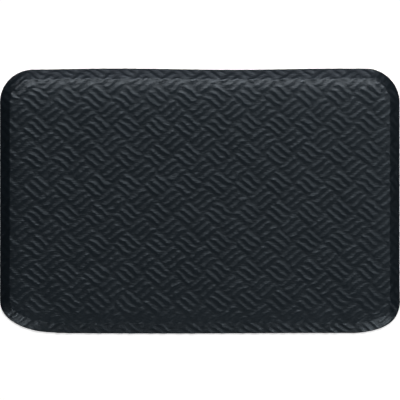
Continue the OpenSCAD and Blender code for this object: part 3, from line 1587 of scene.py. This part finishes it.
@dataclass
class Studio:
    """A pale floor, soft panels of light and a camera straight above the mat.

    floor_drop is how far the floor lies below the mat, view_width the width that the camera
    takes in at view_height, far how far it sees, and aim the place below it.
    """

    floor_half: float = 30.0
    floor_drop: float = 0.05 * MM
    floor_colour: tuple[float, float, float, float] = (0.9, 0.9, 0.9, 1.0)
    floor_glow: float = 0.45
    lens: float = 400.0
    far: float = 100.0
    view_width: float = 0.7603
    view_height: float = 2.5 * MM
    aim: tuple[float, float] = (0.5 * MM, 1.7 * MM)
    lights: list[SoftBox] = field(
        default_factory=lambda: [
            SoftBox("key_panel", (0.3, 3.2, 4.4), (3.4, 1.4), 149.0),
            SoftBox(
                "back_strip",
                centre=(0.0, 0.25, 0.07),
                size=(0.8, 0.015),
                power=0.19,
                aim=(0.0, 0.228, 0.017),
                colour=(1.0, 0.9, 0.86),
            ),
            SoftBox("back_low", (0.0, 2.3, 1.1), (2.0, 0.4), 8.0, colour=(1.0, 0.9, 0.97)),
            SoftBox("front_low", (1.1, -2.3, 1.3), (0.9, 0.25), 8.0),
            SoftBox("corner_left", (-1.5, -2.1, 0.9), (0.8, 0.4), 15.0),
            SoftBox("corner_right", (1.5, -2.1, 0.9), (0.8, 0.4), 17.0),
            SoftBox(
                "front_strip",
                centre=(0.0, -0.25, 0.07),
                size=(0.8, 0.015),
                power=0.012,
                aim=(0.0, -0.228, 0.017),
            ),
            SoftBox("side_fill", (1.0, 0.2, 0.9), (0.4, 0.4), 1.4),
        ]
    )

    def floor(self) -> Object:
        """Lays the floor.

        Returns:
            The floor.
        """
        parts = MeshParts()
        half = self.floor_half
        corners = [(-half, -half), (half, -half), (half, half), (-half, half)]
        numbers = parts.add_points(np.array([(x, y, -self.floor_drop) for x, y in corners]))
        parts.faces.append(numbers.tolist())
        floor = make_object("pale_floor", parts, smooth_below=30)
        graph = FinishGraph("pale_floor", roughness=0.9, specular=0.1)
        graph.set("Base Color", self.floor_colour)
        graph.set("Emission Color", WHITE)
        graph.set("Emission Strength", self.floor_glow)
        floor.data.materials.append(graph.material)
        floor.visible_glossy = False
        floor.visible_diffuse = False
        return floor

    def backdrop(self) -> None:
        """Makes the far background pale without lighting the mat with it."""
        world = bpy.data.worlds.new("pale_surround")
        bpy.context.scene.world = world
        world.use_nodes = True
        sky = next(n for n in world.node_tree.nodes if n.type == "BACKGROUND")
        sky.inputs["Color"].default_value = WHITE
        sky.inputs["Strength"].default_value = 1.0
        world.cycles_visibility.diffuse = False
        world.cycles_visibility.glossy = False

    def camera(self) -> Object:
        """Hangs the camera over the mat.

        Returns:
            The camera.
        """
        data = bpy.data.cameras.new("overhead")
        data.lens = self.lens
        camera = bpy.data.objects.new("overhead", data)
        above = self.view_height + self.view_width * self.lens / data.sensor_width
        camera.location = (*self.aim, above)
        data.clip_end = self.far
        bpy.context.scene.collection.objects.link(camera)
        bpy.context.scene.camera = camera
        return camera

    def build(self) -> None:
        """Sets the whole studio up."""
        self.backdrop()
        self.floor()
        for light in self.lights:
            light.place()
        self.camera()
        bpy.context.scene.view_settings.view_transform = "Standard"


def inset_at(line: np.ndarray, z: float) -> float:
    """The inset at which an edge line, given from the top down, passes a height."""
    return float(np.interp(-z, -line[:, 1], line[:, 0]))


def below(line: np.ndarray, z: float) -> np.ndarray:
    """The part of an edge line that is below a height, starting on it.

    Args:
        line: Pairs of inset and height, from the top down.
        z: The height.

    Returns:
        The lower part of the line.
    """
    return np.concatenate([[(inset_at(line, z), z)], line[line[:, 1] < z - SAME_HEIGHT]])


def above(line: np.ndarray, z: float) -> np.ndarray:
    """The part of an edge line that is above a height, ending on it.

    Args:
        line: Pairs of inset and height, from the top down.
        z: The height.

    Returns:
        The upper part of the line.
    """
    return np.concatenate([line[line[:, 1] > z + SAME_HEIGHT], [(inset_at(line, z), z)]])


def inner_layers(
    outline: Outline,
    section: EdgeSection,
    thickness: float,
    steps: tuple[int, int, int, int] = (6, 6, 6, 8),
    film_inset: float = 1 * MM,
) -> list[InnerLayer]:
    """Works out the sections of the layers inside the cover from the nodes' boxes.

    Args:
        outline: The mat's outline.
        section: The mat's edge.
        thickness: The cover's thickness.
        steps: Steps on the crown, the shoulder, the bevel and the nose.
        film_inset: How far the film ends short of the cover.

    Returns:
        The soft foam, the firm foam and the film between them.
    """
    film_low, film_high = (float(corner[2]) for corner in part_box("bond_film"))
    tape_top = float(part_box("hem_tape")[1][2])
    edge = section.down(thickness, steps)
    over_tape = [
        (section.step_end, tape_top),
        (section.hem_width, tape_top),
        (section.hem_width, section.hem_lift),
    ]
    soft = above(edge, film_high)
    firm = np.concatenate([below(edge, film_low), section.hem(thickness)[:2], over_tape])
    film = np.array([(inset_at(edge, z) + film_inset, z) for z in (film_high, film_low)])
    return [
        InnerLayer("comfort_pad", "comfort_foam", Slot.SOFT_FOAM, outline, soft),
        InnerLayer("support_pad", "support_core", Slot.FIRM_FOAM, outline, firm),
        InnerLayer(
            "bond_layer",
            "bond_film",
            Slot.ADHESIVE,
            outline,
            film,
            unevenness=0.0,
            padded=False,
        ),
    ]


def finish_node(name: str, finish: Material) -> None:
    """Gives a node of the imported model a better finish.

    Args:
        name: The node's name.
        finish: The material for all its slots.
    """
    for slot in bpy.data.objects[name].material_slots:
        slot.material = finish


def report(piece: Object) -> None:
    """Logs a piece's name, size and number of faces."""
    corners = np.array([v.co for v in piece.data.vertices])
    size = (corners.max(axis=0) - corners.min(axis=0)) / MM
    faces = len(piece.data.polygons)
    LOG.info("%s: %.1f x %.1f x %.1f mm, %d faces", piece.name, *size, faces)


def main() -> None:
    """Builds every piece, then the studio."""
    logging.basicConfig(level=logging.INFO, format="%(message)s", stream=sys.stdout)
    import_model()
    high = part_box("top_cover")[1]
    outline = Outline(half_width=float(high[0]), half_depth=float(high[1]))
    section = EdgeSection(height=float(high[2]))

    cover = WrappedCover(outline, section, BasketWeave())
    report(cover.dress(cover.build(), VinylFinish().make()))

    soft = FoamFinish("soft_foam_cut", (0.06, 0.066, 0.08, 1.0), (0.13, 0.14, 0.165, 1.0))
    firm = FoamFinish(
        "firm_foam_cut", (0.028, 0.031, 0.038, 1.0), (0.065, 0.07, 0.083, 1.0), 0.6 * MM
    )
    film = AdhesiveFinish("bond_film_hot_melt", (0.62, 0.56, 0.4, 1.0), (0.84, 0.8, 0.68, 1.0))
    layers = inner_layers(outline, section, cover.thickness)
    for layer, finish in zip(layers, (soft, firm, film)):
        report(layer.dress(layer.build(), finish.make()))

    base = BaseSheet(outline, top=float(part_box("base_sheet")[1][2]))
    report(base.dress(base.build(), RubberFinish().make()))

    tape = AdhesiveFinish(
        "hem_tape_paper", (0.6, 0.5, 0.32, 1.0), (0.78, 0.7, 0.52, 1.0), (90.0, 90.0, 90.0)
    )
    finish_node("hem_tape", tape.make())

    Studio().build()


if __name__ == "__main__":
    main()
